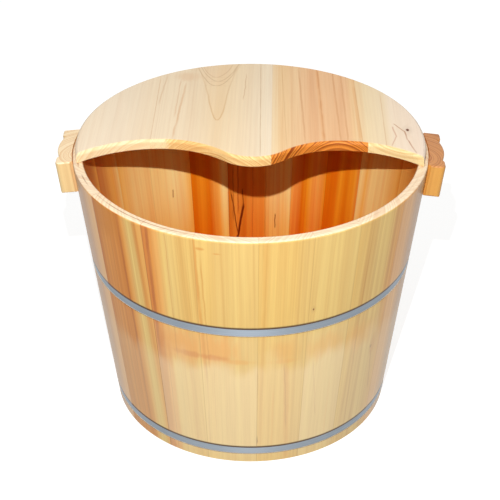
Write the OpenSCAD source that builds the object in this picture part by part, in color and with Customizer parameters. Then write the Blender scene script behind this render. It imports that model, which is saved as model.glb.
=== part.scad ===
// Staved wooden foot bath. A tapered tub of upright staves is pinned edge to edge and
// bound by two flat steel hoops, with a round floor let into a groove near the foot.
// A half lid, sawn along its front to a tongue between two leg recesses, rests on the
// rim and lifts off. A lobed handle block is dowelled to the wall on each side.
// Millimetres, +Z up, front towards -Y, the tub's axis on Z and its foot on z = 0.

/* [Tub] */
// Outside diameter of the mouth
mouth_d = 396; // [360:1:460]
// Outside diameter of the foot
foot_d = 325; // [290:1:380]
// Height from the ground to the rim
height = 320; // [270:1:400]
// Thickness of a stave, measured level
wall = 11.5; // [10:0.5:16]
// Rounding of both edges of the rim
rim_round = 2.5; // [1:0.5:4]
// Chamfer on both edges of the foot
foot_chamfer = 1.5; // [0.5:0.5:3]
// Clearance round each hoop, pin and dowel, at the floor's edge and behind the handles
fit = 0.1; // [0.05:0.05:0.25]

/* [Hoops] */
// Height of a hoop's band
hoop_h = 9.5; // [7:0.5:14]
// Thickness of a hoop's sheet
hoop_t = 1.2; // [0.8:0.1:1.6]
// How deep a hoop lies below the face of the staves
hoop_sink = 0.3; // [0:0.1:0.6]
// Height of the lower hoop's bottom edge
lower_hoop_z = 14.3; // [8:0.1:15]
// Height of the upper hoop's bottom edge
upper_hoop_z = 193.5; // [120:0.5:220]

/* [Floor] */
// Height of the floor's underside
floor_z = 28; // [27:0.5:50]
// Thickness of the floor
floor_t = 12; // [9:0.5:18]
// How far the floor's edge is let into the staves
croze = 4; // [2.5:0.5:5]

/* [Lid] */
// How far the lid's edge stays inside the outer edge of the rim
lid_inset = 4.3; // [3.5:0.1:7]
// Thickness of the lid
lid_t = 12; // [10:0.5:18]
// Rounding of the lid's top edge
lid_round = 4; // [1:0.5:5]
// Chamfer along the lid's bottom edge
lid_ease = 1.2; // [0.4:0.2:2]
// Distance of each leg recess from the middle, at its deepest point
recess_x = 98; // [85:1:110]
// How far the deepest point of a recess lies in front of the tub's axis
recess_front = 8; // [0:1:20]
// Radius of the outer half of each recess
recess_r = 134; // [120:1:150]
// How far the tongue between the recesses reaches in front of the tub's axis
tongue_front = 46.5; // [40:0.5:60]
// Radius of the tongue's tip
tongue_r = 48; // [36:1:54]
// How far the tongue was sawn to the right of the middle
tongue_x = 3; // [-6:0.5:6]

/* [Handles] */
// Length of a handle along the wall
handle_l = 78; // [70:1:100]
// Height of a handle
handle_h = 38.5; // [28:0.5:50]
// How far the middle lobe stands out from the wall
lobe_out = 17.5; // [11:0.1:20]
// Radius of the middle lobe
lobe_r = 60; // [50:1:90]
// How far the end lobes stand out from the wall
end_out = 16; // [10:0.1:18]
// Length of an end lobe
end_l = 15.5; // [12:0.5:20]
// Rounding of the end lobes
end_round = 5; // [3:0.5:6]
// Rounding of a handle's top and bottom edges
handle_round = 2; // [1:0.5:3]
// Chamfer where a handle's end meets the wall
inner_chamfer = 3.5; // [2:0.5:5]
// Depth of a handle's top below the rim
handle_drop = 0; // [0:1:20]

/* [Pins and dowels] */
// Diameter of the pins between boards and between staves
pin_d = 4; // [3:0.5:5]
// Length of those pins
pin_l = 24; // [16:1:30]
// Height of the lower row of stave pins
low_pins_z = 90; // [60:1:120]
// Depth of the upper row of stave pins below the rim
top_pins_depth = 60; // [50:1:80]
// Diameter of the handle dowels
dowel_d = 8; // [6:0.5:10]
// Depth of a handle dowel in the wall
dowel_in = 7.5; // [5:0.5:8]
// Depth of a handle dowel in the handle
dowel_out = 8.5; // [6:0.5:9]
// Distance between the two dowels of a handle
dowel_gap = 36; // [26:1:44]

/* [Hidden] */
$fn = 96;

mouth_r = mouth_d / 2;
foot_r = foot_d / 2;
lid_r = mouth_r - lid_inset;
// Slope of the wall: radius gained for each millimetre of height, and its angle
taper = (mouth_r - foot_r) / height;
lean = atan(taper);
function out_r(z) = foot_r + taper * z;
function in_r(z) = out_r(z) - wall;
floor_r = in_r(floor_z) + croze - fit;
groove = hoop_t + hoop_sink + fit;

// Widths at the mouth in the order that the cooper set them, from the left handle
// round the front. They are shared out over the full circle.
STAVE_W = [75, 81, 60.5, 68, 58.5, 55, 70, 78.5, 91, 94, 57.5, 54, 95.5, 56.5, 66, 63, 57.5, 75];
// Places of the joints between the boards of the lid and of the floor, to a tenth of a
// millimetre, as shares of the radius
function joints(shares, r) = [for (s = shares) round(10 * s * r) / 10];
LID_X = joints([-0.575, 0.12, 0.67], lid_r);
FLOOR_X = joints([-0.5, 0.04, 0.545], floor_r);

function sum(v, n) = n == 0 ? 0 : v[n - 1] + sum(v, n - 1);
staves = len(STAVE_W);
stave_deg = 360 / sum(STAVE_W, staves);
// The first joint lies 12 degrees in front of the left handle's middle
first_joint = 192;
// Each joint is set to a twentieth of a degree, so that neighbours share one plane
function joint_at(i) = round(20 * (first_joint + sum(STAVE_W, i) * stave_deg)) / 20;

function stave_name(i) = str("stave_", i < 9 ? "0" : "", i + 1);

function dir(a) = [cos(a), sin(a)];

// What a rounding of radius r takes off a corner whose two faces point to a0 and a1,
// drawn about the centre of the arc
module corner_waste(r, a0, a1) {
    difference() {
        polygon([[0, 0], 1.6 * r * dir(a0), 2.4 * r * dir((a0 + a1) / 2), 1.6 * r * dir(a1)]);
        circle(r);
    }
}

// A square on its corner, as large as a chamfer of width c needs
module chamfer_waste(c) {
    rotate(45) square(c * sqrt(2), center = true);
}

// A band of the wall's outer face from z up, between two depths below that face
module band(z, h, deep, shallow) {
    polygon([
        [out_r(z) - deep, z], [out_r(z) - shallow, z],
        [out_r(z + h) - shallow, z + h], [out_r(z + h) - deep, z + h]
    ]);
}

// Upright section of a stave, with x as the distance from the tub's axis
module stave_section() {
    arc_z = height - rim_round;
    arc_in = rim_round / cos(lean);
    difference() {
        polygon([[in_r(0), 0], [out_r(0), 0], [out_r(height), height], [in_r(height), height]]);
        translate([out_r(arc_z) - arc_in, arc_z])
            corner_waste(rim_round, 90, -lean);
        translate([in_r(arc_z) + arc_in, arc_z])
            corner_waste(rim_round, 90, 180 - lean);
        for (z = [lower_hoop_z, upper_hoop_z])
            band(z - fit, hoop_h + 2 * fit, groove, -5);
        translate([0, floor_z - fit])
            square([floor_r + fit, floor_t + 2 * fit]);
        translate([out_r(0), 0])
            chamfer_waste(foot_chamfer);
        translate([in_r(0), 0])
            chamfer_waste(foot_chamfer);
    }
}

// The two pins that cross the joint before stave i
module pins_at_joint(i, gap) {
    for (z = [low_pins_z, height - top_pins_depth])
        rotate(joint_at(i))
            translate([(out_r(z) + in_r(z)) / 2, 0, z])
                rotate([90, 0, 0])
                    cylinder(d = pin_d + 2 * gap, h = pin_l + 2 * gap, center = true);
}

module stave(i) {
    color(["burlywood", "sandybrown", "navajowhite"][i % 3])
        difference() {
            rotate_extrude(start = joint_at(i), angle = joint_at(i + 1) - joint_at(i))
                stave_section();
            pins_at_joint(i, fit);
            pins_at_joint(i + 1, fit);
            handle_dowel_pairs(fit);
        }
}

module stave_pins() {
    color("wheat")
        for (i = [0 : staves - 1]) pins_at_joint(i, 0);
}

module hoop(z) {
    color("slategray")
        rotate_extrude()
            band(z, hoop_h, hoop_t + hoop_sink, hoop_sink);
}

// The slab that board i of a round plate is cut from, between its two joints
module slab(joints, i, r, t) {
    x0 = i == 0 ? -r - 1 : joints[i - 1];
    x1 = i == len(joints) ? r + 1 : joints[i];
    translate([x0, -r - 1, -1])
        cube([x1 - x0, 2 * r + 2, t + 2]);
}

// Two pins across each joint of a round plate, at the given shares of the half chord
module plate_pins(joints, r, t, shares, gap) {
    for (x = joints, s = shares)
        translate([x, s * sqrt(r * r - x * x), t / 2])
            rotate([0, 90, 0])
                cylinder(d = pin_d + 2 * gap, h = pin_l + 2 * gap, center = true);
}

module floor_pin_rows(gap) {
    plate_pins(FLOOR_X, floor_r, floor_t, [-0.55, 0.55], gap);
}

module floor_board(i) {
    color("tan")
        translate([0, 0, floor_z])
            difference() {
                intersection() {
                    cylinder(r = floor_r, h = floor_t);
                    slab(FLOOR_X, i, floor_r, floor_t);
                }
                floor_pin_rows(fit);
            }
}

module floor_pins() {
    color("wheat")
        translate([0, 0, floor_z]) floor_pin_rows(0);
}

// Height of the centre of the top edge's rounding. The cutter stood a hair high, so its
// curve meets the lid's top at a faint line.
round_z = lid_t - 0.97 * lid_round;

// Section of a plate that reaches out to r, its top edge rounded and its bottom chamfered
module plate_section(r) {
    difference() {
        square([r, lid_t]);
        translate([r - lid_round, round_z])
            corner_waste(lid_round, 0, 90);
        translate([r, 0])
            chamfer_waste(lid_ease);
    }
}

// Section of a round cut of radius r that leaves the same two edges along its rim
module recess_section(r) {
    difference() {
        translate([0, -1])
            square([r + lid_round, lid_t + 2]);
        difference() {
            translate([r, 0])
                square([lid_round + 1, lid_t]);
            translate([r + lid_round, round_z])
                corner_waste(lid_round, 90, 180);
            translate([r, 0])
                chamfer_waste(lid_ease);
        }
    }
}

// The inner half of a recess is an arc that runs on into the tongue's tip. It bites that
// little into the tip's own arc, so no thin edge of wood is left between the two cuts.
bite = 0.05;
tongue_rise = tongue_front - recess_front;
tongue_c = [tongue_x, tongue_r - tongue_front];
function inner_r(side) =
    let (across = recess_x - side * tongue_x)
    let (sum = (across ^ 2 + tongue_rise ^ 2 - bite ^ 2) / (2 * (tongue_rise - bite)))
    round(100 * (sum - tongue_r)) / 100;
function recess_c(side, r) = [side * recess_x, -recess_front - r];
function tongue_end(side) =
    let (v = recess_c(side, inner_r(side)) - tongue_c) atan2(v[1], v[0]);

// Half of a round recess: the part on the given side of its deepest point
module half_recess(side, r, half) {
    translate(recess_c(side, r))
        rotate_extrude(start = -90 * half, angle = 180)
            recess_section(r);
}

// All that is sawn off in front of the tongue's round tip
module tongue_waste() {
    translate(tongue_c)
        rotate_extrude(start = tongue_end(-1), angle = tongue_end(1) - tongue_end(-1))
            difference() {
                translate([tongue_r - lid_round - 1, -1])
                    square([2 * lid_r, lid_t + 2]);
                plate_section(tongue_r);
            }
}

module lid_pin_rows(gap) {
    plate_pins(LID_X, lid_r, lid_t, [0.25, 0.75], gap);
}

module lid_board(i) {
    side = i < len(LID_X) / 2 ? -1 : 1;
    color("moccasin")
        translate([0, 0, height])
            difference() {
                difference() {
                    intersection() {
                        rotate_extrude() plate_section(lid_r);
                        slab(LID_X, i, lid_r, lid_t);
                    }
                    tongue_waste();
                }
                half_recess(side, inner_r(side), -side);
                half_recess(side, recess_r, side);
                lid_pin_rows(fit);
            }
}

module lid_pins() {
    color("wheat")
        translate([0, 0, height]) lid_pin_rows(0);
}

// Places a handle's own frame: x out from the wall, z up along its slope, z = 0 at the
// handle's top
module at_handle(side) {
    rotate(side > 0 ? 0 : 180)
        translate([mouth_r, 0, height])
            rotate([0, lean, 0])
                translate([0, 0, -handle_drop])
                    children();
}

module handle_dowel_pairs(gap) {
    for (side = [-1, 1], s = [-1, 1])
        at_handle(side)
            translate([-dowel_in - gap, s * dowel_gap / 2, -handle_h / 2])
                rotate([0, 90, 0])
                    cylinder(d = dowel_d + 2 * gap, h = dowel_in + dowel_out + 2 * gap);
}

// A rectangle from two corners, rounded at its two corners on x1
module rounded_end(x0, x1, y0, y1, r) {
    difference() {
        translate([x0, y0]) square([x1 - x0, y1 - y0]);
        translate([x1 - r, y1 - r]) corner_waste(r, 0, 90);
        translate([x1 - r, y0 + r]) corner_waste(r, 0, -90);
    }
}

// A handle is a long lobe between two short ones. Each is made in the handle's own frame
// and reaches behind the wall's face, where the wall's own cone cuts it off.
handle_back = -mouth_r / 8;
handle_half = handle_l / 2;
notch = handle_half - end_l;

// The middle lobe: a slice of a disc with rounded edges
module middle_lobe() {
    intersection() {
        translate([lobe_out - lobe_r, 0, 0])
            rotate_extrude()
                rounded_end(0, lobe_r, -handle_h, 0, handle_round);
        translate([handle_back, -notch - 2, -handle_h - 1])
            cube([lobe_out - handle_back + 1, 2 * notch + 4, handle_h + 2]);
    }
}

// The lobe at the +Y end: its outline from above, from the side and from the end
module end_lobe() {
    seat = sqrt(mouth_r * mouth_r - handle_half * handle_half) - mouth_r;
    intersection() {
        translate([0, 0, -handle_h - 1])
            linear_extrude(handle_h + 2)
                difference() {
                    rounded_end(handle_back, end_out, notch, handle_half, end_round);
                    translate([seat, handle_half])
                        polygon([
                            [inner_chamfer, 0], [inner_chamfer, 1], [handle_back, 1],
                            [handle_back, handle_back - inner_chamfer]
                        ]);
                }
        translate([0, handle_half + 1, 0])
            rotate([90, 0, 0])
                linear_extrude(end_l + 2)
                    rounded_end(handle_back - 1, end_out, -handle_h, 0, handle_round);
        translate([handle_back - 1, 0, 0])
            rotate([90, 0, 90])
                linear_extrude(end_out - handle_back + 2)
                    rounded_end(notch - 1, handle_half, -handle_h, 0, handle_round);
    }
}

module handle(side) {
    color(side > 0 ? "peru" : "khaki")
        difference() {
            at_handle(side) {
                middle_lobe();
                for (s = [0, 1])
                    mirror([0, s, 0]) end_lobe();
            }
            // the wall's own cone, so that the handle's back lies along it
            translate([0, 0, height / 2])
                cylinder(h = height, r1 = out_r(height / 2) + fit, r2 = out_r(height * 1.5) + fit);
            handle_dowel_pairs(fit);
        }
}

module left_handle() {
    handle(-1);
}

module right_handle() {
    handle(1);
}

module handle_dowels() {
    color("wheat")
        handle_dowel_pairs(0);
}

for (i = [0 : staves - 1])
    stave(i);
stave_pins();
hoop(upper_hoop_z);  // upper_hoop
hoop(lower_hoop_z);  // lower_hoop
for (i = [1 : 4]) {
    floor_board(i - 1);
    lid_board(i - 1);
}
floor_pins();
lid_pins();
left_handle();
right_handle();
handle_dowels();
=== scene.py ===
import math

import bpy
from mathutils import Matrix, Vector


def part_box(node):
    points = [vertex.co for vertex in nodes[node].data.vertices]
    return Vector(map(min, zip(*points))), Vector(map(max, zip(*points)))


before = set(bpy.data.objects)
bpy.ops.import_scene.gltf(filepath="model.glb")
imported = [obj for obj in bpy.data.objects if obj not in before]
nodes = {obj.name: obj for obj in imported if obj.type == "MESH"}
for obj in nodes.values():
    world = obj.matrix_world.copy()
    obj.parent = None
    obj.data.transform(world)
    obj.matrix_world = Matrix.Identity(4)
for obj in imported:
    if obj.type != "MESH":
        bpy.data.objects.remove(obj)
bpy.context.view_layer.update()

# Staves. Eighteen tapered fir planks stand on end in a ring, planed hollow inside and
# round outside, pinned and glued edge to edge, then lacquered. Heartwood is orange and
# sapwood pale, and each plank shows the rings of the tree that it was sawn from.
MOUTH_RADIUS = 0.198
FOOT_RADIUS = 0.1625
TUB_HEIGHT = 0.320
WALL = 0.0115
WALL_LEAN = math.atan((MOUTH_RADIUS - FOOT_RADIUS) / TUB_HEIGHT)
# The staves' widths in proportion, from the left handle round by the front.
STAVE_WIDTHS = (75, 81, 60.5, 68, 58.5, 55, 70, 78.5, 91, 94,
                57.5, 54, 95.5, 56.5, 66, 63, 57.5, 75)
FIRST_JOINT = -78.0  # degrees from the front, positive towards the right handle


def add_node(tree, kind, inputs=None, **options):
    """Places a node, sets its options, and fills or links its inputs by name or number."""
    made = tree.nodes.new(kind)
    for name, value in options.items():
        setattr(made, name, value)
    for name, value in (inputs or {}).items():
        if isinstance(value, bpy.types.NodeSocket):
            tree.links.new(value, made.inputs[name])
        else:
            made.inputs[name].default_value = value
    return made


def calc(tree, operation, *values, clamp=False):
    made = add_node(tree, "ShaderNodeMath", dict(enumerate(values)), operation=operation,
                    use_clamp=clamp)
    return made.outputs[0]


def smooth_step(tree, value, low, high):
    """Nothing up to the low value, one from the high value on."""
    made = add_node(tree, "ShaderNodeMapRange",
                    {"Value": value, "From Min": low, "From Max": high},
                    interpolation_type="SMOOTHSTEP")
    return made.outputs["Result"]


def smooth_fall(tree, value, low, high):
    """One up to the low value, nothing from the high value on."""
    return calc(tree, "SUBTRACT", 1.0, smooth_step(tree, value, low, high))


def swing(tree, base, noise, amount):
    """The base value, moved up and down by a noise that lies about one half."""
    return calc(tree, "MULTIPLY_ADD", calc(tree, "SUBTRACT", noise, 0.5), amount, base)


def split(tree, vector):
    """The three parts of a vector, as sockets numbered from 0."""
    return add_node(tree, "ShaderNodeSeparateXYZ", {0: vector}).outputs


def length(tree, first, second):
    """How long a line is that goes so far one way and so far square to it."""
    squares = calc(tree, "MULTIPLY_ADD", first, first, calc(tree, "MULTIPLY", second, second))
    return calc(tree, "SQRT", squares)


def paint(code):
    """A colour written as six hexadecimal digits, in Blender's linear values."""
    channels = [int(code[i:i + 2], 16) / 255 for i in (0, 2, 4)]
    return [c / 12.92 if c <= 0.04045 else ((c + 0.055) / 1.055) ** 2.4
            for c in channels] + [1.0]


def tone_scale(tree, value, stops):
    """Colours along a scale from 0 to 1."""
    made = add_node(tree, "ShaderNodeValToRGB", {"Fac": value})
    marks = made.color_ramp.elements
    marks.remove(marks[1])
    marks[0].position, marks[0].color = stops[0][0], paint(stops[0][1])
    for position, code in stops[1:]:
        marks.new(position).color = paint(code)
    return made.outputs["Color"]


def mixed(tree, share, first, second, way="MIX"):
    """Two colours mixed, or the second one multiplied onto the first."""
    made = add_node(tree, "ShaderNodeMix", {0: share, 6: first, 7: second}, data_type="RGBA",
                    blend_type=way)
    return made.outputs[2]


def marked(tree, colour, mask, share, code, way="MIX"):
    """A colour with a tone laid over it where the mask is, as strongly as the share says."""
    return mixed(tree, calc(tree, "MULTIPLY", mask, share), colour, paint(code), way)


def new_group(name, inputs, outputs):
    """An empty shader node group: its tree, the values given to it and its results."""
    tree = bpy.data.node_groups.new(name, "ShaderNodeTree")
    kinds = {"f": "NodeSocketFloat", "v": "NodeSocketVector"}
    for in_out, sockets in (("INPUT", inputs), ("OUTPUT", outputs)):
        for label, kind in sockets:
            tree.interface.new_socket(label, in_out=in_out, socket_type=kinds[kind])
    start = tree.nodes.new("NodeGroupInput")
    end = tree.nodes.new("NodeGroupOutput")
    return tree, start.outputs, end.inputs


def place_group(tree, group, inputs):
    """Places one of the groups below in a material and hands over its outputs."""
    return add_node(tree, "ShaderNodeGroup", inputs, node_tree=group).outputs


def grain_noise(tree, place, across, along, seed, detail=2.0, roughness=0.5):
    """Noise drawn out along the grain: so many spots a metre across it and along it."""
    spread = add_node(tree, "ShaderNodeVectorMath", {0: place, 1: (across, across, along)},
                      operation="MULTIPLY")
    made = add_node(tree, "ShaderNodeTexNoise",
                    {"Vector": spread.outputs[0], "W": seed, "Scale": 1.0, "Detail": detail,
                     "Roughness": roughness}, noise_dimensions="4D")
    return made.outputs["Fac"]


def make_growth_rings():
    """The rings of a trunk, whose pith runs beside or inside the plank."""
    tree, given, result = new_group(
        "growth rings",
        [("Place", "v"), ("Pith X", "f"), ("Pith Y", "f"), ("Ring Width", "f"),
         ("Wander", "f"), ("Push", "f"), ("Seed", "f")],
        [("Rings", "f"), ("Late", "f"), ("Streaks", "f"), ("Threads", "f"), ("Fibre", "f"),
         ("Pores", "f")])
    place, seed = given["Place"], given["Seed"]
    axes = split(tree, place)
    off_x = calc(tree, "SUBTRACT", axes[0], given["Pith X"])
    off_y = calc(tree, "SUBTRACT", axes[1], given["Pith Y"])
    radius = calc(tree, "ADD", length(tree, off_x, off_y), given["Push"])
    # The trunk bends slowly and its rings waver, both by a multiple of the plank's wander.
    for across, along, times in ((14, 3.0, 4.0), (90, 11, 0.5)):
        sway = calc(tree, "MULTIPLY", given["Wander"], times)
        radius = swing(tree, radius, grain_noise(tree, place, across, along, seed), sway)

    count = calc(tree, "DIVIDE", radius, given["Ring Width"])
    # Rings lie closer together in bad years, and each year darkens by its own amount.
    change, most_shift = 0.35, 3.0
    years = add_node(tree, "ShaderNodeTexNoise",
                     {"W": calc(tree, "ADD", count, seed), "Scale": change, "Detail": 1.0},
                     noise_dimensions="1D").outputs["Fac"]
    count = calc(tree, "MULTIPLY_ADD", years, most_shift, count)
    year = add_node(tree, "ShaderNodeTexWhiteNoise",
                    {"W": calc(tree, "ADD", calc(tree, "FLOOR", count), seed)},
                    noise_dimensions="1D").outputs["Value"]
    # Parts of a year over which the fine line and the broad late wood darken and stop.
    line_darkens, late_darkens, stops = (0.15, 0.9), (0.1, 0.8), (0.88, 1.0)
    part = calc(tree, "FRACT", count)
    fall = smooth_fall(tree, part, *stops)
    sharper = 1.5
    line = calc(tree, "MULTIPLY", smooth_step(tree, part, *line_darkens), fall)
    line = calc(tree, "POWER", line, sharper)
    faintest = 0.15
    weight = calc(tree, "MULTIPLY_ADD", calc(tree, "MULTIPLY", year, year), 1 - faintest,
                  faintest)
    tree.links.new(calc(tree, "MULTIPLY", line, weight), result["Rings"])
    late = calc(tree, "MULTIPLY", smooth_step(tree, part, *late_darkens), fall)
    late = calc(tree, "MULTIPLY", late, calc(tree, "MULTIPLY_ADD", year, 0.5, 0.5))
    tree.links.new(late, result["Late"])

    for label, across, along, detail, roughness in (
            ("Streaks", 75, 1.6, 3.0, 0.6), ("Threads", 330, 3.5, 2.0, 0.6),
            ("Fibre", 750, 18, 2.0, 0.65), ("Pores", 900, 900, 1.0, 0.5)):
        noise = grain_noise(tree, place, across, along, seed, detail, roughness)
        tree.links.new(noise, result[label])
    return tree


def make_vein():
    """A thin line of resin or late wood that runs up a plank and fades at both ends."""
    tree, given, result = new_group(
        "vein", [("Place", "v"), ("X", "f"), ("Tilt", "f"), ("From", "f"), ("To", "f"),
                 ("Half Width", "f"), ("Wobble", "f"), ("Seed", "f")], [("Mask", "f")])
    place, seed = given["Place"], given["Seed"]
    axes = split(tree, place)
    middle = calc(tree, "MULTIPLY_ADD", axes[2], given["Tilt"], given["X"])
    bends = grain_noise(tree, place, 0, 45, seed, detail=3.0, roughness=0.6)
    middle = swing(tree, middle, bends, given["Wobble"])
    away = calc(tree, "ABSOLUTE", calc(tree, "SUBTRACT", axes[0], middle))
    solid_core = 0.2
    across = smooth_fall(tree, calc(tree, "DIVIDE", away, given["Half Width"]), solid_core, 1.0)
    fading_share = 0.12
    fade = calc(tree, "MULTIPLY", calc(tree, "SUBTRACT", given["To"], given["From"]),
                fading_share)
    low = calc(tree, "DIVIDE", calc(tree, "SUBTRACT", axes[2], given["From"]), fade, clamp=True)
    high = calc(tree, "DIVIDE", calc(tree, "SUBTRACT", given["To"], axes[2]), fade, clamp=True)
    faintest = 0.4
    faint_parts = (0.15, 0.55)
    uneven = grain_noise(tree, place, 0, 28, seed, detail=1.0)
    uneven = smooth_step(tree, uneven, *faint_parts)
    uneven = calc(tree, "MULTIPLY_ADD", uneven, 1 - faintest, faintest)
    mask = calc(tree, "MULTIPLY", calc(tree, "MULTIPLY", across, uneven),
                calc(tree, "MULTIPLY", low, high))
    tree.links.new(mask, result["Mask"])
    return tree


def make_flame():
    """Growth rings cut lengthways near the top of their arc: a pointed arch along the grain."""
    tree, given, result = new_group(
        "flame", [("Place", "v"), ("X", "f"), ("Z", "f"), ("Tilt", "f"), ("Curve", "f"),
                  ("Flare", "f"), ("Line", "f"), ("Depth", "f"), ("Seed", "f")],
        [("Fill", "f"), ("Edge", "f")])
    axes = split(tree, given["Place"])
    up = calc(tree, "SUBTRACT", axes[2], given["Z"])
    sideways = calc(tree, "SUBTRACT", axes[0], given["X"])
    sideways = calc(tree, "SUBTRACT", sideways, calc(tree, "MULTIPLY", up, given["Tilt"]))
    jitter = 0.003
    sideways = swing(tree, sideways, grain_noise(tree, given["Place"], 45, 40, given["Seed"]),
                     jitter)
    reach = calc(tree, "MAXIMUM", up, 0.0)
    round_part = calc(tree, "SQRT", calc(tree, "MULTIPLY", reach, given["Curve"]))
    flared = calc(tree, "MULTIPLY", calc(tree, "POWER", reach, 4.0), given["Flare"])
    half = calc(tree, "ADD", round_part, flared)
    # Distances are taken square to the arch's side, so its line is as wide all along.
    above_nothing = 0.0004
    slope = calc(tree, "DIVIDE", given["Curve"],
                 calc(tree, "MULTIPLY_ADD", round_part, 2.0, above_nothing))
    steep = calc(tree, "SQRT", calc(tree, "MULTIPLY_ADD", slope, slope, 1.0))
    inward = calc(tree, "SUBTRACT", half, calc(tree, "ABSOLUTE", sideways))
    inward = calc(tree, "ADD", calc(tree, "DIVIDE", inward, steep),
                  calc(tree, "MINIMUM", up, 0.0))
    line = calc(tree, "DIVIDE", calc(tree, "ABSOLUTE", inward), given["Line"])
    deep = calc(tree, "SUBTRACT", 1.0, calc(tree, "DIVIDE", up, given["Depth"]), clamp=True)
    tree.links.new(calc(tree, "MULTIPLY", smooth_fall(tree, line, 0.0, 1.0), deep),
                   result["Edge"])
    soft_edge = (-0.0005, 0.0015)
    tree.links.new(calc(tree, "MULTIPLY", smooth_step(tree, inward, *soft_edge), deep),
                   result["Fill"])
    return tree


def make_wash():
    """A soft, ragged patch of another tone."""
    tree, given, result = new_group(
        "wash", [("Place", "v"), ("X", "f"), ("Z", "f"), ("Half Width", "f"),
                 ("Half Height", "f"), ("Seed", "f")], [("Mask", "f")])
    axes = split(tree, given["Place"])
    off_x = calc(tree, "DIVIDE", calc(tree, "SUBTRACT", axes[0], given["X"]),
                 given["Half Width"])
    off_z = calc(tree, "DIVIDE", calc(tree, "SUBTRACT", axes[2], given["Z"]),
                 given["Half Height"])
    raggedness, soft_edge = 1.2, (0.3, 1.1)
    away = swing(tree, length(tree, off_x, off_z),
                 grain_noise(tree, given["Place"], 160, 30, given["Seed"]), raggedness)
    tree.links.new(smooth_fall(tree, away, *soft_edge), result["Mask"])
    return tree


def make_knot():
    """A small round knot, and how far it pushes the rings around it aside."""
    tree, given, result = new_group(
        "knot", [("Place", "v"), ("X", "f"), ("Z", "f"), ("Size", "f")],
        [("Mask", "f"), ("Halo", "f"), ("Push", "f")])
    drawn_out = 0.6  # a knot is longer along the grain
    axes = split(tree, given["Place"])
    off_x = calc(tree, "SUBTRACT", axes[0], given["X"])
    off_z = calc(tree, "MULTIPLY", calc(tree, "SUBTRACT", axes[2], given["Z"]), drawn_out)
    sizes = calc(tree, "DIVIDE", length(tree, off_x, off_z), given["Size"])
    knot_edge, halo_edge = (0.5, 1.1), (0.8, 4.5)
    tree.links.new(smooth_fall(tree, sizes, *knot_edge), result["Mask"])
    tree.links.new(smooth_fall(tree, sizes, *halo_edge), result["Halo"])
    push_fades, most_push = -0.08, 2.2
    push = calc(tree, "MULTIPLY", calc(tree, "MULTIPLY", sizes, sizes), push_fades)
    push = calc(tree, "MULTIPLY", calc(tree, "EXPONENT", push),
                calc(tree, "MULTIPLY", given["Size"], most_push))
    tree.links.new(push, result["Push"])
    return tree


GROWTH_RINGS = make_growth_rings()
VEIN = make_vein()
FLAME = make_flame()
WASH = make_wash()
KNOT = make_knot()


def bare_material(name):
    made = bpy.data.materials.new(name)
    made.use_nodes = True
    made.node_tree.nodes.clear()
    return made, made.node_tree


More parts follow.
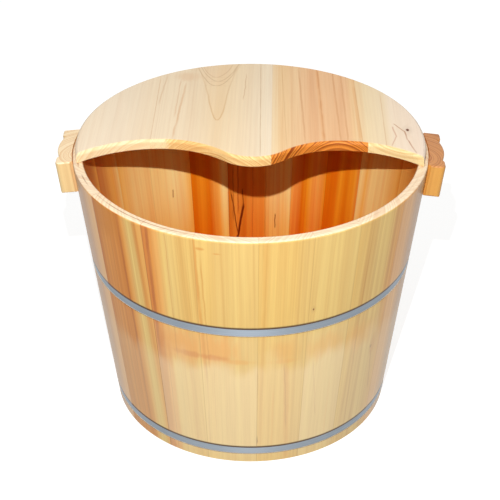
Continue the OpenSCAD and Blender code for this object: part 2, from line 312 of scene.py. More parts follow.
def timber(name, origin, turn, width, tones, pith, ring=0.0035, wander=0.0012,
           ring_code="B87C40", ring_share=0.24, streaks=0.3, streak_code="D09858",
           end=("F6E0BC", "E2B488"), end_share=0.6, cut=(0.12, 0.45), veins=(), knots=(),
           washes=(), flames=(), end_washes=(), seed=0.0, gloss=0.44, coat=0.06, ior=1.38,
           more=None):
    """Lacquered wood. Its own frame has z along the grain, x across the face from the middle
    and y into the wood; tones run across the face, pith is where the tree's middle lies,
    and cut says how far a surface turns from the grain before it shows end grain."""
    made, tree = bare_material(name)
    spot = add_node(tree, "ShaderNodeTexCoord").outputs["Object"]
    place = add_node(tree, "ShaderNodeMapping",
                     {"Vector": spot, "Location": origin, "Rotation": turn},
                     vector_type="TEXTURE").outputs[0]

    # Single marks: a mask, the share of its tone and the tone, on the face or on the end.
    # Each mark's seed comes from its place, so that no two are ragged in the same way.
    push, marks, end_marks = 0.0, [], []
    halo_share, knot_share = 0.12, 0.95
    for x, z, size, code in knots:
        knot = place_group(tree, KNOT, {"Place": place, "X": x, "Z": z, "Size": size})
        push = calc(tree, "ADD", knot["Push"], push)
        marks += [(knot["Halo"], halo_share, code), (knot["Mask"], knot_share, code)]
    for listed, kept in ((washes, marks), (end_washes, end_marks)):
        for x, z, half_width, half_height, share, code in listed:
            wash = place_group(tree, WASH, {
                "Place": place, "X": x, "Z": z, "Half Width": half_width,
                "Half Height": half_height, "Seed": seed + 50 * x})
            kept.append((wash["Mask"], share, code))
    for x, z, tilt, curve, flare, line, depth, edge_share, share, code, edge_code in flames:
        flame = place_group(tree, FLAME, {
            "Place": place, "X": x, "Z": z, "Tilt": tilt, "Curve": curve, "Flare": flare,
            "Line": line, "Depth": depth, "Seed": seed + 30 * z})
        marks += [(flame["Fill"], share, code), (flame["Edge"], edge_share, edge_code)]
    for x0, z0, x1, z1, half_width, wobble, share, code in veins:
        tilt = (x1 - x0) / (z1 - z0)
        vein = place_group(tree, VEIN, {
            "Place": place, "X": x0 - tilt * z0, "Tilt": tilt, "From": z0, "To": z1,
            "Half Width": half_width, "Wobble": wobble, "Seed": seed + 100 * x0})
        marks.append((vein["Mask"], share, code))

    grain = place_group(tree, GROWTH_RINGS, {
        "Place": place, "Pith X": pith[0], "Pith Y": pith[1], "Ring Width": ring,
        "Wander": wander, "Push": push, "Seed": seed})
    rings, fibre = grain["Rings"], grain["Fibre"]
    ragged_edge, thread_share = 0.009, 0.6
    streak_edge, thread_edge, pore_edge = (0.42, 0.75), (0.42, 0.72), (0.45, 0.8)
    across = swing(tree, split(tree, place)[0], grain["Streaks"], ragged_edge)
    across = calc(tree, "ADD", calc(tree, "DIVIDE", across, width), 0.5)
    face = tone_scale(tree, across, tones)
    streak = smooth_step(tree, grain["Streaks"], *streak_edge)
    face = marked(tree, face, streak, streaks, streak_code, "MULTIPLY")
    thread = smooth_step(tree, grain["Threads"], *thread_edge)
    face = marked(tree, face, thread, thread_share * streaks, streak_code, "MULTIPLY")
    face = marked(tree, face, rings, ring_share, ring_code, "MULTIPLY")
    for mark in marks:
        face = marked(tree, face, *mark)
    end_face = marked(tree, paint(end[0]), grain["Late"], end_share, end[1])
    for mark in end_marks:
        end_face = marked(tree, end_face, *mark)
    pore_share = 0.25
    pores = smooth_step(tree, grain["Pores"], *pore_edge)
    end_face = marked(tree, end_face, pores, pore_share, end[1])
    if more:
        face, end_face = more(tree, face, end_face, spot)

    normal = add_node(tree, "ShaderNodeNewGeometry").outputs["Normal"]
    turned = add_node(tree, "ShaderNodeMapping", {"Vector": normal, "Rotation": turn},
                      vector_type="TEXTURE").outputs[0]
    along = calc(tree, "ABSOLUTE", split(tree, turned)[2])
    colour = mixed(tree, smooth_step(tree, along, *cut), face, end_face)
    fibre_contrast = 0.14
    shade = calc(tree, "MULTIPLY_ADD", fibre, fibre_contrast, 1 - fibre_contrast / 2)
    shade = add_node(tree, "ShaderNodeCombineXYZ", {0: shade, 1: shade, 2: shade}).outputs[0]
    colour = mixed(tree, 1.0, colour, shade, "MULTIPLY")

    ring_height, gloss_spread = -0.6, 0.16  # the lacquer sinks in along the rings
    relief = calc(tree, "MULTIPLY_ADD", rings, ring_height, fibre)
    bump = add_node(tree, "ShaderNodeBump",
                    {"Height": relief, "Strength": 0.12, "Distance": 0.0003})
    satin = calc(tree, "MULTIPLY_ADD", fibre, gloss_spread, gloss - gloss_spread / 2)
    skin = add_node(tree, "ShaderNodeBsdfPrincipled",
                    {"Base Color": colour, "Roughness": satin, "Normal": bump.outputs[0],
                     "Coat Weight": coat, "Coat Roughness": 0.25, "IOR": ior})
    add_node(tree, "ShaderNodeOutputMaterial", {"Surface": skin.outputs[0]})
    return made


def dress(node, material):
    mesh = nodes[node].data
    mesh.materials.clear()
    mesh.materials.append(material)


# Tones of the lacquered wood, on the outside of the tub and deeper ones on the inside.
TONES = {"honey": "E0C076", "straw": "E0BC6E", "amber": "E2A95C", "tan": "DA923F",
         "russet": "CA7C30", "bark": "A85A20", "umber": "6A3412", "weathered": "BC8E5C",
         "butter": "FAE29C", "apricot": "F9D488", "peach": "F8BC5E", "copper": "EEA246",
         "rust": "D88428", "glow": "F09A22", "ember": "E2780C", "coal": "E0780A", "clay": "DE8E4A",
         "wine": "6E2404"}

# What each stave looks like: the side that its tones were matched on, the tones across it
# by their bearing in degrees, where the pith lies, how much painted reflection of the floor
# makes it paler below the upper hoop and how plain its left joint is. Lines run from one
# bearing and height to another, with their half width and their tone's share. Patches and
# spots lie at a bearing and a height, and coat and ior say how glossy the stave is.
STAVE_LOOKS = [
    dict(side="outer", tones=((-78, "weathered"), (-66, "weathered"), (-58, "amber")),
         pith=(-0.05, 0.07), low=0.15, coat=0.2, ior=1.5),
    dict(side="outer", tones=((-56.5, "russet"), (-53.5, "tan"), (-45, "tan"), (-43.2, "russet"),
                              (-42, "tan"), (-40.5, "amber"), (-38.8, "honey"), (-36.5, "honey"),
                              (-34.5, "amber")),
         pith=(0.05, 0.06), streaks=0.45, low=0.3, joint=0.35, coat=0.02, ior=1.25,
         patches=((-52.0, 0.305, 0.034, 0.034, 0.6, "C47A26"),),
         lines=((-43.2, 0.0, -43.2, 0.33, 0.0022, 0.5, "bark"),
                (-49.0, 0.0, -49.0, 0.30, 0.0018, 0.3, "bark"),
                (-46.0, 0.02, -45.6, 0.15, 0.0012, 0.35, "bark"))),
    dict(side="outer", tones=((-33.3, "russet"), (-31.2, "tan"), (-28.8, "amber"),
                              (-26.8, "straw"), (-25.0, "honey"), (-20, "straw")),
         pith=(-0.06, 0.07), streaks=0.35, low=0.5, joint=0.5,
         lines=((-25, 0.13, -25, 0.36, 0.0010, 0.4, "BC742C"),
                (-20.1, 0.0, -20.3, 0.15, 0.0022, 0.35, "C88A48"),
                (-32.2, -0.05, -32.0, 0.36, 0.0032, 0.7, "bark"),
                (-31.0, -0.05, -30.6, 0.20, 0.0060, 0.85, "C06C14"),
                (-27.6, -0.05, -28.0, 0.18, 0.0040, 0.5, "D08434"),
                (-28.9, -0.02, -28.9, 0.15, 0.0010, 0.5, "A85A20")),
         patches=((-23.0, 0.172, 0.040, 0.034, 0.8, "DC9440"),
                  (-20.0, 0.1605, 0.024, 0.0055, 0.7, "C87C34"))),
    dict(side="outer", tones=((-16, "straw"), (-12, "straw"), (-9, "honey"), (3.5, "honey")),
         pith=(0.05, 0.09), streaks=0.25, low=0.52,
         lines=((-14.2, 0.12, -17.3, 0.36, 0.0028, 0.55, "C87E30"),
                (-13.0, 0.13, -14.6, 0.30, 0.0014, 0.4, "BC742C"),
                (-14.0, 0.0, -14.1, 0.16, 0.0014, 0.4, "B87A40"),
                (-11.6, 0.04, -11.6, 0.15, 0.0008, 0.35, "B87A40")),
         patches=((-14.5, 0.309, 0.006, 0.0022, 0.5, "russet"),
                  (-9.0, 0.305, 0.005, 0.0016, 0.45, "russet"),
                  (-12.0, 0.174, 0.036, 0.030, 0.75, "DE9842"),
                  (-12.0, 0.1605, 0.022, 0.0050, 0.75, "CC7E34"),
                  (-3.5, 0.1570, 0.022, 0.0045, 0.5, "D8963E"))),
    dict(side="outer", tones=((3.5, "straw"), (9, "straw"), (15, "straw"), (18.5, "honey")),
         pith=(-0.06, 0.06), streaks=0.3, low=0.38, joint=0.2,
         lines=((15.2, -0.01, 13.4, 0.158, 0.0050, 0.5, "C8843C"),
                (14.5, 0.05, 12.8, 0.156, 0.0012, 0.5, "A8682C"),
                (5.2, 0.0, 5.0, 0.40, 0.0040, 0.3, "C88A3C"),
                (3.9, 0.05, 3.7, 0.150, 0.0010, 0.45, "A86A34"),
                (3.9, -0.01, 4.1, 0.045, 0.0013, 0.85, "umber"),
                (9.5, 0.0, 9.5, 0.12, 0.002, 0.25, "tan")),
         patches=((4.1, 0.034, 0.0020, 0.005, 0.9, "bark"),
                  (13.0, 0.172, 0.018, 0.020, 0.35, "tan"),
                  (12.0, 0.156, 0.018, 0.004, 0.3, "tan"))),
    dict(side="outer", tones=((20.3, "honey"), (28, "honey"), (35, "honey")), pith=(0.06, 0.07),
         streaks=0.3, low=0.55, joint=0.22, spots=((21.5, 0.224, 0.0010, "7A4420"),),
         patches=((28.0, 0.166, 0.034, 0.022, 0.5, "E0A458"),),
         lines=((26.6, 0.06, 23.4, 0.15, 0.0012, 0.4, "bark"),
                (31.0, 0.0, 31.0, 0.12, 0.002, 0.25, "tan"))),
    dict(side="outer", tones=((36, "straw"), (44, "honey"), (50, "straw"), (56, "amber")),
         pith=(-0.05, 0.06), streaks=0.45, low=0.40, joint=0.2,
         spots=((50.5, 0.131, 0.0018, "8A4A20"),),
         patches=((43.0, 0.160, 0.034, 0.026, 0.5, "E0A458"),
                  (51.5, 0.13, 0.006, 0.02, 0.45, "russet")),
         lines=((42.0, 0.0, 41.0, 0.18, 0.0016, 0.4, "bark"),
                (53.5, 0.06, 50.8, 0.13, 0.0014, 0.5, "bark"))),
    dict(side="outer", tones=((56, "amber"), (62, "amber"), (68, "weathered"), (78, "weathered")),
         pith=(0.05, 0.08), low=0.3, streaks=0.35, coat=0.2, ior=1.5),
    dict(side="inner", tones=((79, "copper"), (92, "copper"), (104, "peach")), pith=(-0.05, 0.07)),
    dict(side="inner", tones=((104.5, "copper"), (107, "peach"), (118, "apricot"),
                              (126, "apricot"),
                              (128, "peach"), (130, "apricot")), pith=(0.05, 0.08), joint=0.15),
    dict(side="inner", tones=((131.5, "copper"), (134, "glow"), (138, "ember"), (141, "glow"),
                              (144, "ember"), (148, "coal")),
         pith=(0.05, 0.06), streaks=0.4, streak_code="F08038", joint=0.25),
    dict(side="inner", tones=((148, "glow"), (150, "copper"), (153, "peach"), (156, "glow"),
                              (158.5, "ember"), (160.5, "copper"), (163, "peach")),
         pith=(-0.06, 0.06), streaks=0.5, streak_code="F08038"),
    dict(side="inner", tones=((163.6, "butter"), (167, "apricot"), (170, "butter"),
                              (173, "apricot"),
                              (175.5, "copper"), (178, "copper"), (181, "copper"), (184.3, "rust"),
                              (187, "copper"), (190.5, "rust")),
         pith=(0.06, 0.06), streaks=0.35, streak_code="F08038",
         lines=((186.4, 0.100, 189.9, 0.166, 0.0011, 0.85, "wine"),
                (186.4, 0.100, 184.0, 0.146, 0.0013, 0.9, "wine"),
                (184.1, 0.138, 184.9, 0.168, 0.0009, 0.8, "wine"),
                (187.1, 0.090, 184.2, 0.148, 0.0020, 0.95, "wine"),
                (187.4, 0.06, 187.0, 0.102, 0.0020, 0.9, "wine"),
                (174.7, -0.05, 174.7, 0.4, 0.0008, 0.35, "8A3C0C"),
                (180.2, -0.05, 180.2, 0.4, 0.0008, 0.35, "8A3C0C"),
                (170.3, 0.112, 170.3, 0.134, 0.0012, 0.8, "8A3C0C"),
                (188.6, 0.12, 188.9, 0.20, 0.0012, 0.5, "8A3C0C"),
                (186.6, 0.13, 186.8, 0.21, 0.0016, 0.5, "8A3C0C"))),
    dict(side="inner", tones=((190.9, "butter"), (193, "butter"), (194.6, "peach"),
                              (197, "copper"),
                              (199, "ember"), (203, "glow"), (206, "coal")), pith=(0.05, 0.06),
         joint=0.45, lines=((195.8, -0.05, 195.8, 0.4, 0.0014, 0.5, "copper"),)),
    dict(side="inner", tones=((207, "peach"), (210, "apricot"), (214, "butter"), (220, "apricot"),
                              (226, "apricot")),
         pith=(-0.06, 0.08),
         joint=0.2, lines=((216.1, 0.171, 216.0, 0.183, 0.0012, 0.7, "8A3C0C"),)),
    dict(side="inner", tones=((226, "apricot"), (236, "apricot"), (244, "peach")),
         pith=(0.05, 0.07), joint=0.15),
    dict(side="inner", tones=((244, "apricot"), (249, "peach"), (256, "clay"), (260, "clay")),
         pith=(-0.05, 0.07), joint=0.15),
    dict(side="inner", tones=((260.5, "peach"), (265, "clay"), (282, "clay")), pith=(0.05, 0.08)),
]


def face_radius(side):
    """Radius of the wall's face at half height."""
    middle = (MOUTH_RADIUS + FOOT_RADIUS) / 2
    return middle if side == "outer" else middle - WALL


def make_tub_marks():
    """Marks that go round the whole tub: a painted reflection of the pale floor, which makes the
    part below the upper hoop paler, painted shade deep inside, painted shade along the hoops'
    edges, and the ring line on the rim."""
    tree, given, result = new_group("tub marks", [("Spot", "v")],
                                    [("Low", "f"), ("Deep Shade", "f"), ("Groove Shade", "f"),
                                     ("Rim Line", "f")])
    spot = given["Spot"]
    axes = split(tree, spot)
    wall = calc(tree, "MULTIPLY_ADD", axes[2], math.tan(WALL_LEAN), FOOT_RADIUS)
    depth = calc(tree, "SUBTRACT", wall, length(tree, axes[0], axes[1]))
    outer_skin, inner_skin = (0.003, 0.005), (0.007, 0.010)  # metres into the wall
    outer = smooth_fall(tree, depth, *outer_skin)
    inner = smooth_step(tree, depth, *inner_skin)
    cloud = add_node(tree, "ShaderNodeTexNoise",
                     {"Vector": spot, "Scale": 22.0, "Detail": 2.0}).outputs["Fac"]

    # The painted reflection of the pale floor ends in an uneven line, and is fainter near the hoop
    # and the foot.
    reflection_edge, hoop_part, foot_part = (0.134, 0.168), (0.185, 0.200), (0.006, 0.026)
    wave, reflection_share, hoop_share, foot_share = 0.05, 0.7, 0.3, 0.6
    tongues = grain_noise(tree, spot, 60, 4, 5.0, detail=3.0, roughness=0.6)
    waving = swing(tree, swing(tree, axes[2], cloud, wave), tongues, wave)
    upper = smooth_fall(tree, axes[2], *hoop_part)
    low = calc(tree, "MULTIPLY_ADD", smooth_fall(tree, waving, *reflection_edge), reflection_share,
               calc(tree, "MULTIPLY", upper, hoop_share))
    foot = smooth_step(tree, axes[2], *foot_part)
    low = calc(tree, "MULTIPLY", low,
               calc(tree, "MULTIPLY_ADD", foot, 1 - foot_share, foot_share))
    tree.links.new(calc(tree, "MULTIPLY", low, outer), result["Low"])

    # Painted shade: the inner face turns darker and more orange towards the bottom of the tub.
    deep_part = (0.09, 0.21)
    deep = smooth_fall(tree, axes[2], *deep_part)
    tree.links.new(calc(tree, "MULTIPLY", deep, inner), result["Deep Shade"])

    # Painted shade in the hoops' grooves: a dark line just above each hoop and a thinner one just
    # below it.
    shade_above, shade_below = (0.0015, 0.0036), (0.0002, 0.0014)
    groove_shade = 0.0
    for hoop in ("upper_hoop", "lower_hoop"):
        low_edge, high_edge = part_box(hoop)
        above = calc(tree, "SUBTRACT", axes[2], high_edge.z)
        below = calc(tree, "SUBTRACT", low_edge.z, axes[2])
        under = smooth_fall(tree, below, *shade_below)
        line = calc(tree, "MULTIPLY", smooth_fall(tree, above, *shade_above),
                    calc(tree, "MULTIPLY", under, under))
        groove_shade = calc(tree, "ADD", line, groove_shade)
    tree.links.new(calc(tree, "MULTIPLY", groove_shade, outer, clamp=True), result["Groove Shade"])

    # The line on the rim is broken, and from the middle on it is fainter.
    line_depth, line_edge, gaps = 0.0058, (0.0002, 0.0011), (0.40, 0.55)
    middle_part, right_share = (-0.10, -0.02), 0.25
    off = calc(tree, "ABSOLUTE", calc(tree, "SUBTRACT", depth, line_depth))
    rightward = smooth_step(tree, axes[0], *middle_part)
    leftward = calc(tree, "MULTIPLY_ADD", rightward, right_share - 1, 1.0)
    rim_line = calc(tree, "MULTIPLY", smooth_fall(tree, off, *line_edge), leftward)
    broken = smooth_step(tree, cloud, *gaps)
    tree.links.new(calc(tree, "MULTIPLY", rim_line, broken), result["Rim Line"])
    return tree


def make_glue_line():
    """The thin line where a stave's edge meets its neighbour, on a plane through the axis."""
    tree, given, result = new_group("glue line", [("Spot", "v"), ("Across", "v")],
                                    [("Mask", "f")])
    off = add_node(tree, "ShaderNodeVectorMath", {0: given["Spot"], 1: given["Across"]},
                   operation="DOT_PRODUCT").outputs["Value"]
    line_edge = (0.0002, 0.0007)
    tree.links.new(smooth_fall(tree, calc(tree, "ABSOLUTE", off), *line_edge), result["Mask"])
    return tree


TUB_MARKS = make_tub_marks()
GLUE_LINE = make_glue_line()


def stave_marks(joints, floor_reflection_share):
    """What a stave carries beside its grain: the marks round the tub, among them painted floor
    reflection and painted shade, and its glued edges.
    """
    def add_marks(tree, face, end_face, spot):
        tub = place_group(tree, TUB_MARKS, {"Spot": spot})
        # Painted reflection of the pale floor: the outer wall turns paler and creamier below the
        # upper hoop.
        face = marked(tree, face, tub["Low"], floor_reflection_share, "F0DCB4")
        # Painted shade deep inside the tub.
        face = mixed(tree, tub["Deep Shade"], face, paint("F4CB94"), "MULTIPLY")
        groove_shade_share, rim_line_share = 0.95, 0.7
        # Painted shade at the edges of the hoops' grooves.
        face = marked(tree, face, tub["Groove Shade"], groove_shade_share, "3A2214")
        end_face = marked(tree, end_face, tub["Rim Line"], rim_line_share, "94603C")
        for joint, joint_share in joints:
            across = (math.cos(joint), math.sin(joint), 0.0)
            line = place_group(tree, GLUE_LINE, {"Spot": spot, "Across": across})
            share = calc(tree, "MULTIPLY", line["Mask"], joint_share)
            face = mixed(tree, share, face, paint("8A4A1C"))
            end_face = mixed(tree, share, end_face, paint("B07848"))
        return face, end_face
    return add_marks


# What holds where a stave's own look doesn't say otherwise: how plain its joint is, how
# much painted reflection of the floor makes it paler below the upper hoop, how far its lines
# waver, and its wood, which is redder and duller inside the tub.
PLAIN_JOINT = 0.2
PLAIN_FLOOR_REFLECTION = 0.2
LINE_WOBBLE = 0.003
STAVE_WOOD = {"ring": 0.005, "ring_share": 0.14, "end": ("EFD9B8", "D8AE84"),
              "cut": (0.45, 0.85)}
INNER_WOOD = {"streak_code": "F2A45C", "ring_code": "E08840", "coat": 0.0, "ior": 1.2}
bearing = FIRST_JOINT
for number, (share, look) in enumerate(zip(STAVE_WIDTHS, STAVE_LOOKS), 1):
    span = 360 * share / sum(STAVE_WIDTHS)
    centre = bearing + span / 2
    look = {**STAVE_WOOD, **(INNER_WOOD if look["side"] == "inner" else {}), **look}
    reach = face_radius(look.pop("side"))
    width = 2 * reach * math.sin(math.radians(span / 2))

    def sideways(b):
        return reach * math.sin(math.radians(b - centre))

    tones = [(0.5 + sideways(b) / width, TONES[tone]) for b, tone in look.pop("tones")]
    veins = [(sideways(b0), z0, sideways(b1), z1, half_width, LINE_WOBBLE, share,
              TONES.get(tone, tone))
             for b0, z0, b1, z1, half_width, share, tone in look.pop("lines", ())]
    washes = [(sideways(b), z, half_width, half_height, share, TONES.get(tone, tone))
              for b, z, half_width, half_height, share, tone in look.pop("patches", ())]
    knots = [(sideways(b), z, size, code) for b, z, size, code in look.pop("spots", ())]
    next_joint = STAVE_LOOKS[number % len(STAVE_LOOKS)].get("joint", PLAIN_JOINT)
    joints = ((math.radians(bearing), look.pop("joint", PLAIN_JOINT)),
              (math.radians(bearing + span), next_joint))
    bearing += span
    around = math.radians(centre)
    origin = (FOOT_RADIUS * math.sin(around), -FOOT_RADIUS * math.cos(around), 0.0)
    more = stave_marks(joints, look.pop("low", PLAIN_FLOOR_REFLECTION))
    wood = timber(f"stave_wood_{number:02d}", origin, (WALL_LEAN, 0.0, around), width, tones,
                  seed=3.7 * number, veins=veins, knots=knots, washes=washes, more=more,
                  **look)
    dress(f"stave_{number:02d}", wood)


# Hoops. Two bands of thin cold-rolled stainless strip, welded into rings and driven up
# into shallow turned grooves, a hair below the face of the staves.
def hoop_finish():
    """Satin steel, with fine rolling marks round the tub and a few dull clouds."""
    made, tree = bare_material("hoop_strip")
    spot = add_node(tree, "ShaderNodeTexCoord").outputs["Object"]
    rolling_marks = (6, 6, 2600)  # so many a metre, along x, y and z
    stretched = add_node(tree, "ShaderNodeVectorMath", {0: spot, 1: rolling_marks},
                         operation="MULTIPLY")
    rolling = add_node(tree, "ShaderNodeTexNoise", {"Vector": stretched.outputs[0], "Scale": 1.0,
                                                    "Detail": 3.0}).outputs["Fac"]
    clouds = add_node(tree, "ShaderNodeTexNoise", {"Vector": spot, "Scale": 25.0,
                                                   "Detail": 2.0}).outputs["Fac"]
    colour = tone_scale(tree, rolling, [(0.3, "868F99"), (0.7, "9CA7B2")])
    cloud_share, least_rough, cloud_rough = 0.3, 0.43, 0.14
    colour = marked(tree, colour, clouds, cloud_share, "767D85")
    rough = calc(tree, "MULTIPLY_ADD", clouds, cloud_rough, least_rough)
    bump = add_node(tree, "ShaderNodeBump",
                    {"Height": rolling, "Strength": 0.1, "Distance": 0.0002})
    skin = add_node(tree, "ShaderNodeBsdfPrincipled",
                    {"Base Color": colour, "Metallic": 0.92, "Roughness": rough,
                     "Anisotropic": 0.75, "Anisotropic Rotation": 0.25,
                     "Normal": bump.outputs[0]})
    add_node(tree, "ShaderNodeOutputMaterial", {"Surface": skin.outputs[0]})
    return made


hoop_strip = hoop_finish()
for hoop in ("upper_hoop", "lower_hoop"):
    dress(hoop, hoop_strip)

# Floor. Four boards, pinned edge to edge into one round plate, which is let into the croze
# near the foot. They are of the same fir as the staves.
GRAIN_LEVEL = (math.radians(-90), 0.0, 0.0)  # the grain runs front to back, y is depth
FLOOR_TONES = [(0.0, "E4AE6C"), (0.4, "EAB878"), (1.0, "DFA25E")]
FLOOR_PITH = (0.09, 0.05)  # on one side of each board and on the other in turn
for number in range(1, 5):
    low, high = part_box(f"floor_board_{number}")
    wood = timber(f"floor_wood_{number}", ((low.x + high.x) / 2, 0.0, high.z), GRAIN_LEVEL,
                  high.x - low.x, FLOOR_TONES,
                  pith=((-1) ** number * FLOOR_PITH[0], FLOOR_PITH[1]), seed=80 + 3.1 * number)
    dress(f"floor_board_{number}", wood)

# Lid. Four pale sapwood boards, edge glued with pins, sawn to the tub's curve at the back
# and to a tongue between two leg recesses at the front, with the top edge rounded over.

# Each board's look: the tones across it from left to right, and its marks, placed in metres
# to the right of the tub's axis and behind it. Flames are pointed arches, veins long lines,
# and end washes change the tone of the sawn front edge.
LID_LOOKS = [
    dict(tones=((0, "EDDABE"), (0.5, "EDDBC0"), (1, "EDD8B8")), pith=(0.05, 0.07), ring=0.0042,
         ring_share=0.06, end=("F6DEB2", "E6BA80")),
    dict(tones=((0, "EDD9BA"), (0.35, "ECD7B6"), (0.55, "ECD3AC"), (0.75, "EDD7B4"),
                (0.9, "EEDCBE"), (1, "EEDCC0")),
         pith=(0.009, 0.06), ring=0.0032, wander=0.0005, ring_share=0.12, ring_code="C08C54",
         end=("F6D290", "CC8A46"), end_share=0.8,
         end_washes=((-0.104, -0.008, 0.016, 0.030, 0.8, "F6DEB0"),
                     (-0.062, -0.010, 0.030, 0.022, 0.35, "E2A050")),
         washes=((-0.0785, 0.153, 0.018, 0.014, 0.4, "DDB48C"),),
         flames=((-0.039, 0.041, -0.03, 0.0020, 23.0, 0.0015, 0.19, 0.55, 0.18, "E2B474",
                  "C8985C"),
                 (-0.0434, 0.129, 0.0, 0.0110, 0.0, 0.0013, 0.14, 0.5, 0.06, "DDA478", "B89468"),
                 (-0.0420, 0.141, 0.0, 0.0115, 0.0, 0.0012, 0.14, 0.5, 0.0, "C08850", "B89468"),
                 (-0.0440, 0.152, 0.0, 0.0100, 0.0, 0.0012, 0.12, 0.45, 0.06, "E0A884", "C09468")),
         veins=((-0.0873, -0.010, -0.0792, 0.140, 0.0019, 0.003, 0.42, "CC9460"),
                (-0.0880, 0.045, -0.0862, 0.150, 0.0013, 0.003, 0.32, "C89060"),
                (-0.1112, -0.040, -0.1112, 0.160, 0.0012, 0.001, 0.45, "C89868"),
                (-0.1085, 0.075, -0.1026, 0.165, 0.0013, 0.003, 0.32, "C89868"),
                (0.0113, -0.060, 0.0086, 0.21, 0.0008, 0.001, 0.5, "B08050"),
                (0.0250, -0.040, 0.0230, 0.20, 0.0008, 0.001, 0.25, "B88858"),
                (-0.0103, 0.090, -0.0080, 0.165, 0.0010, 0.004, 0.4, "B88858"))),
    dict(tones=((0, "EED6AE"), (0.10, "ECCB9A"), (0.27, "ECC89A"), (0.34, "EAC092"),
                (0.55, "EABE90"), (0.80, "EABE90"), (0.87, "EDC896"), (0.93, "EDD2A4"),
                (1, "EDD6AC")),
         pith=(0.020, 0.047), ring=0.0032, ring_share=0.12, ring_code="D0946C", wander=0.0005,
         streak_code="DCA070", streaks=0.25, end=("EA9038", "8A3808"), end_share=0.95,
         veins=((0.0608, -0.02, 0.0544, 0.19, 0.0016, 0.002, 0.48, "C88E60"),
                (0.0818, -0.02, 0.0767, 0.19, 0.0034, 0.002, 0.5, "DE9C60"),
                (0.0822, -0.02, 0.0771, 0.19, 0.0013, 0.002, 0.45, "C07C48"),
                (0.1003, -0.02, 0.0949, 0.19, 0.0017, 0.002, 0.5, "CC8E5C"),
                (0.1082, -0.02, 0.1047, 0.19, 0.0017, 0.002, 0.45, "CC8E5C"),
                (0.1225, -0.02, 0.1176, 0.19, 0.0030, 0.001, 0.45, "E0A468"),
                (0.1240, -0.02, 0.1191, 0.19, 0.0009, 0.001, 0.4, "C88C54"),
                (0.0401, -0.03, 0.0342, 0.19, 0.0010, 0.001, 0.3, "C89868"))),
    dict(tones=((0, "ECD5AC"), (0.35, "ECD7B4"), (0.45, "EEDAC0"), (1, "EFDCC8")),
         pith=(0.0, -0.05),
         ring=0.005, ring_share=0.08, ring_code="C08C54", end=("F1D8A0", "CE9A56"),
         knots=((0.1753, 0.0213, 0.0021, "5E2608"),),
         veins=((0.1815, -0.034, 0.1737, -0.0005, 0.0012, 0.002, 0.65, "A8683C"),
                (0.1739, -0.0035, 0.1714, 0.0200, 0.0012, 0.002, 0.7, "A8683C"),
                (0.1722, 0.0160, 0.1600, 0.0370, 0.0012, 0.002, 0.7, "B07848"),
                (0.1555, -0.0170, 0.1620, 0.0075, 0.0012, 0.002, 0.5, "C08462"),
                (0.1621, 0.0040, 0.1584, 0.0300, 0.0013, 0.003, 0.55, "C08462"),
                (0.1497, -0.06, 0.1497, 0.12, 0.0010, 0.001, 0.4, "C89868"))),
]
# The marks are placed from the tub's axis, but each board's own frame lies at its middle.
LID_MARKS = ("flames", "veins", "knots", "washes", "end_washes")
for number, look in enumerate(LID_LOOKS, 1):
    low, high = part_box(f"lid_board_{number}")
    middle = (low.x + high.x) / 2
    look = {"streaks": 0.12, **look}
    for marks in LID_MARKS:
        look[marks] = [(mark[0] - middle, *mark[1:]) for mark in look.get(marks, ())]
    look["veins"] = [(*mark[:2], mark[2] - middle, *mark[3:]) for mark in look["veins"]]
    wood = timber(f"lid_wood_{number}", (middle, 0.0, high.z), GRAIN_LEVEL, high.x - low.x,
                  seed=120 + 5.3 * number, gloss=0.55, coat=0.0, ior=1.3, **look)
    dress(f"lid_board_{number}", wood)

# Handles. Each is one block, sawn to a long lobe between two short ones, dowelled and
# glued to its stave. The left one is sapwood and the right one orange heartwood.
HANDLE_OUT = 0.21
HANDLE_UP = 0.285
HANDLE_LENGTH = 0.08
left_wood = timber("left_handle_wood", (-HANDLE_OUT, 0.0, HANDLE_UP),
                   (WALL_LEAN, 0.0, math.radians(-90)), HANDLE_LENGTH,
                   [(0.0, "E2C088"), (0.5, "DFBA7C"), (1.0, "E2C28A")], pith=(0.02, 0.03),
                   end=("F4DCB4", "D49C5C"), seed=200)
right_wood = timber("right_handle_wood", (HANDLE_OUT, 0.0, HANDLE_UP),
                    (WALL_LEAN, 0.0, math.radians(90)), HANDLE_LENGTH,
                    [(0.0, "D49A4A"), (0.5, "CE9042"), (1.0, "CC8840")], pith=(-0.02, 0.03),
                    end=("CE8E54", "94501E"), seed=210)
dress("left_handle", left_wood)
dress("right_handle", right_wood)

# Pins and dowels. Plain turned pegs of pale hardwood that join the staves and boards edge
# to edge and hold the handles, all hidden in their holes.
peg_wood = timber("peg_wood", (0.0, 0.0, 0.0), (0.0, 0.0, 0.0), 0.4,
                  [(0.0, "DCC08C"), (1.0, "D6B880")], pith=(0.5, 0.5), seed=300)
for pegs in ("stave_pins", "floor_pins", "lid_pins", "handle_dowels"):
    dress(pegs, peg_wood)

# Studio. A pale floor under the tub, a small lamp above the camera as in the photograph,
# and plain white surroundings.
FLOOR_REACH = 6.0
floor_mesh = bpy.data.meshes.new("studio_floor")
floor_mesh.from_pydata([(-FLOOR_REACH, -FLOOR_REACH, 0), (FLOOR_REACH, -FLOOR_REACH, 0),
                        (FLOOR_REACH, FLOOR_REACH, 0), (-FLOOR_REACH, FLOOR_REACH, 0)],
                       [], [(0, 1, 2, 3)])
studio_floor = bpy.data.objects.new("studio_floor", floor_mesh)
bpy.context.scene.collection.objects.link(studio_floor)


def seen_directly(tree):
    """One where the camera sees a surface itself, in a mirror or through glass."""
    rays = add_node(tree, "ShaderNodeLightPath").outputs
    seen = calc(tree, "ADD", rays["Is Camera Ray"], rays["Is Glossy Ray"], clamp=True)
    return calc(tree, "ADD", seen, rays["Is Transmission Ray"], clamp=True)


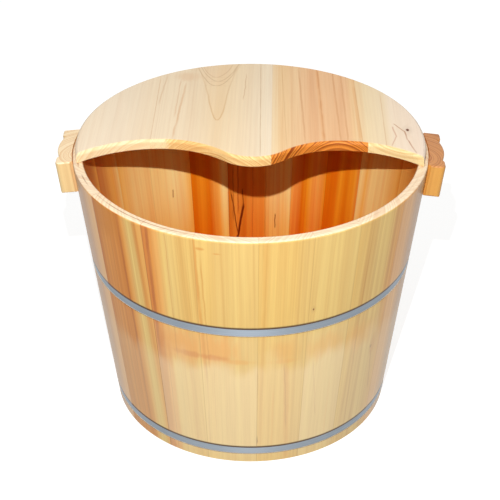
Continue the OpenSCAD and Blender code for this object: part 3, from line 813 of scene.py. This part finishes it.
FLOOR_LIFT = 0.78  # with the lamp's light this makes a clear floor white
paper, tree = bare_material("white_paper")
soft = add_node(tree, "ShaderNodeTexNoise", {"Scale": 40.0})
paper_colour = mixed(tree, soft.outputs["Fac"], paint("ACACAA"), paint("B2B2B0"))
matte = add_node(tree, "ShaderNodeBsdfDiffuse", {"Color": paper_colour})
lift = add_node(tree, "ShaderNodeEmission",
                {"Strength": calc(tree, "MULTIPLY", seen_directly(tree), FLOOR_LIFT)})
both = add_node(tree, "ShaderNodeAddShader", {0: matte.outputs[0], 1: lift.outputs[0]})
add_node(tree, "ShaderNodeOutputMaterial", {"Surface": both.outputs[0]})
floor_mesh.materials.append(paper)

SIDE_LIGHT = 0.12  # how bright the room is level with the tub
TOP_LIGHT = 0.5  # and how much brighter straight above it
world = bpy.data.worlds.new("white_room")
bpy.context.scene.world = world
world.use_nodes = True
tree = world.node_tree
tree.nodes.clear()
seen = seen_directly(tree)
way = add_node(tree, "ShaderNodeTexCoord").outputs["Generated"]
height = calc(tree, "MAXIMUM", split(tree, way)[2], 0.0)
room_light = calc(tree, "MULTIPLY_ADD", height, TOP_LIGHT, SIDE_LIGHT)
level = calc(tree, "MULTIPLY_ADD", calc(tree, "SUBTRACT", 1.0, seen), room_light, seen)
room = add_node(tree, "ShaderNodeBackground", {"Color": (1, 1, 1, 1), "Strength": level})
add_node(tree, "ShaderNodeOutputWorld", {"Surface": room.outputs[0]})

LAMP_DROP = 40  # degrees that the lamp looks down
lamp_data = bpy.data.lights.new("front_lamp", "AREA")
lamp_data.shape = "DISK"
lamp_data.size = 0.016
lamp_data.energy = 22.5
lamp = bpy.data.objects.new("front_lamp", lamp_data)
bpy.context.scene.collection.objects.link(lamp)
lamp.location = (-0.016, -1.15, 1.172)
lamp.rotation_euler = (math.radians(90 - LAMP_DROP), 0.0, 0.0)

CAMERA_DROP = 32.888  # degrees that the camera looks down, and turns to the left
CAMERA_TURN = 1.187
camera_data = bpy.data.cameras.new("camera")
camera_data.sensor_width = 36.0
camera_data.lens = 98.13
camera = bpy.data.objects.new("camera", camera_data)
bpy.context.scene.collection.objects.link(camera)
camera.location = (0.02698, -1.33711, 1.04811)
camera.rotation_euler = (math.radians(90 - CAMERA_DROP), 0.0, math.radians(CAMERA_TURN))
bpy.context.scene.camera = camera
bpy.context.scene.view_settings.view_transform = "Standard"
